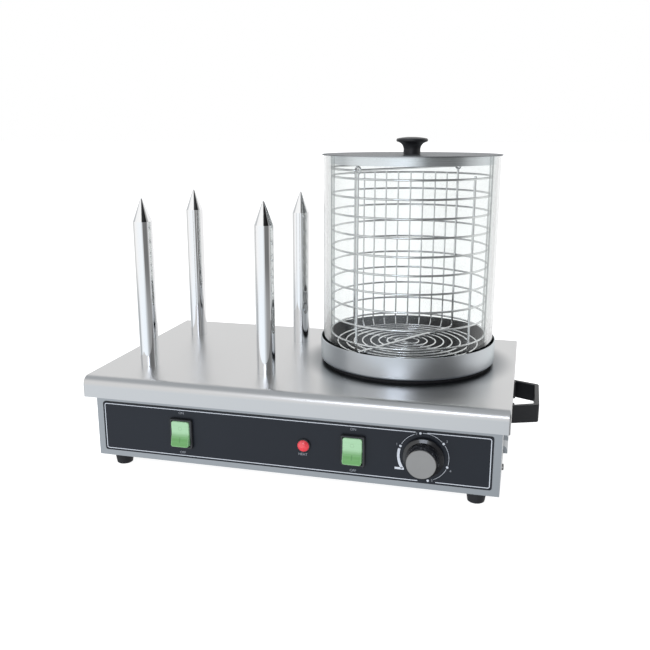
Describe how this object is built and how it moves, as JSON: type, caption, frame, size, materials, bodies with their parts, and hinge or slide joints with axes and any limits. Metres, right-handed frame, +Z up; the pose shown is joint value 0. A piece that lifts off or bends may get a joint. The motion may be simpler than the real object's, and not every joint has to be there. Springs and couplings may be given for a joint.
{
  "type": "hot dog warmer",
  "caption": "Counter-top hot dog warmer: lidded glass cylinder with a wire basket over a heated water pan, and heated bun spikes on a stainless box.",
  "frame": {"origin": "on the table, under the middle of the deck, which is also the bottom centre of the whole part's box", "axes": "+X to the right seen from the controls, +Y to the back, +Z up"},
  "size_m": [0.5606, 0.314, 0.3947],
  "materials": {
    "stainless_sheet": "satin brushed stainless sheet",
    "collar_steel": "spun and brushed stainless",
    "lid_steel": "polished satin stainless",
    "panel_print": "printed dark blue-grey plate with a light border",
    "rubber_black": "matt black rubber",
    "handle_plastic": "moulded black plastic",
    "knob_plastic": "glossy black phenolic",
    "knob_cap_metal": "spun aluminium disc",
    "switch_black": "glossy black nylon",
    "rocker_green": "translucent green",
    "lamp_red": "translucent red",
    "spike_chrome": "mirror polished",
    "basket_wire": "chromed wire",
    "pan_coating": "dark non-stick coating",
    "clear_glass": "clear borosilicate, polished ends",
    "zinc_fastener": "zinc plated steel",
    "heater_steel": "heat-tinted steel sheath",
    "copper_tube": "drawn copper",
    "electrical_plastic": "cream moulded insulation",
    "gland_plastic": "black nylon"
  },
  "bodies": {
    "casing": {"deck": "stainless_sheet", "front_wall": "stainless_sheet", "back_wall": "stainless_sheet", "right_wall": "stainless_sheet", "left_wall": "stainless_sheet", "base_plate": "stainless_sheet", "glass_collar": "collar_steel", "control_panel": "panel_print", "foot_front_left": "rubber_black", "foot_front_right": "rubber_black", "foot_back_left": "rubber_black", "foot_back_right": "rubber_black", "pan_gasket": "rubber_black", "left_handle": "handle_plastic", "right_handle": "handle_plastic", "left_switch_body": "switch_black", "right_switch_body": "switch_black", "lamp_body": "switch_black", "lamp_lens": "lamp_red", "spike_front_left": "spike_chrome", "spike_front_right": "spike_chrome", "spike_back_left": "spike_chrome", "spike_back_right": "spike_chrome", "water_pan": "pan_coating", "foot_screws": "zinc_fastener", "foot_nuts": "zinc_fastener", "base_screws": "zinc_fastener", "back_screws": "zinc_fastener", "handle_screws": "zinc_fastener", "thermostat_screws": "zinc_fastener", "spike_nuts": "zinc_fastener", "heater_nuts": "zinc_fastener", "lamp_nut": "zinc_fastener", "pan_heater": "heater_steel", "heater_plate": "heater_steel", "spike_heaters": "heater_steel", "sensor_bulb": "copper_tube", "capillary_tube": "copper_tube", "thermostat_body": "electrical_plastic", "terminal_block": "electrical_plastic", "cable_gland": "gland_plastic", "gland_nut": "gland_plastic"},
    "left_rocker": {"left_switch_rocker": "rocker_green"},
    "right_rocker": {"right_switch_rocker": "rocker_green"},
    "dial": {"thermostat_knob": "knob_plastic", "knob_cap": "knob_cap_metal", "thermostat_shaft": "zinc_fastener"},
    "glass": {"glass_cylinder": "clear_glass"},
    "basket": {"basket_rings": "basket_wire", "basket_uprights": "basket_wire", "basket_back_wires": "basket_wire", "basket_floor": "basket_wire", "basket_legs": "basket_wire"},
    "bail": {"basket_bail": "basket_wire"},
    "lid": {"lid_disc": "lid_steel", "lid_ring": "lid_steel", "lid_knob": "knob_plastic", "lid_screw": "zinc_fastener"}
  },
  "joints": [
    {"name": "left_rocker_tilt", "type": "hinge", "parent": "casing", "child": "left_rocker", "pos_m": [-0.1305, -0.137, 0.0514], "axis": [1, 0, 0], "range_deg": [0, 16]},
    {"name": "right_rocker_tilt", "type": "hinge", "parent": "casing", "child": "right_rocker", "pos_m": [0.0785, -0.137, 0.0514], "axis": [1, 0, 0], "range_deg": [0, 16]},
    {"name": "thermostat_turn", "type": "hinge", "parent": "casing", "child": "dial", "pos_m": [0.1581, -0.1355, 0.0514], "axis": [0, 1, 0], "range_deg": [0, 295]},
    {"name": "glass_lift", "type": "slide", "parent": "casing", "child": "glass", "axis": [0, 0, 1], "range_m": [0, 0.24]},
    {"name": "basket_lift", "type": "slide", "parent": "glass", "child": "basket", "axis": [0, 0, 1], "range_m": [0, 0.29]},
    {"name": "lid_lift", "type": "slide", "parent": "basket", "child": "lid", "axis": [0, 0, 1], "range_m": [0, 0.16]},
    {"name": "bail_swing", "type": "hinge", "parent": "basket", "child": "bail", "pos_m": [0.1133, 0.0243, 0.3581], "axis": [0.5225, 0.8526, 0], "range_deg": [0, 90]}
  ],
  "couplings": [
    {"joint": "bail_swing", "follows": "lid_lift", "rad_per_m": 9.81}
  ]
}
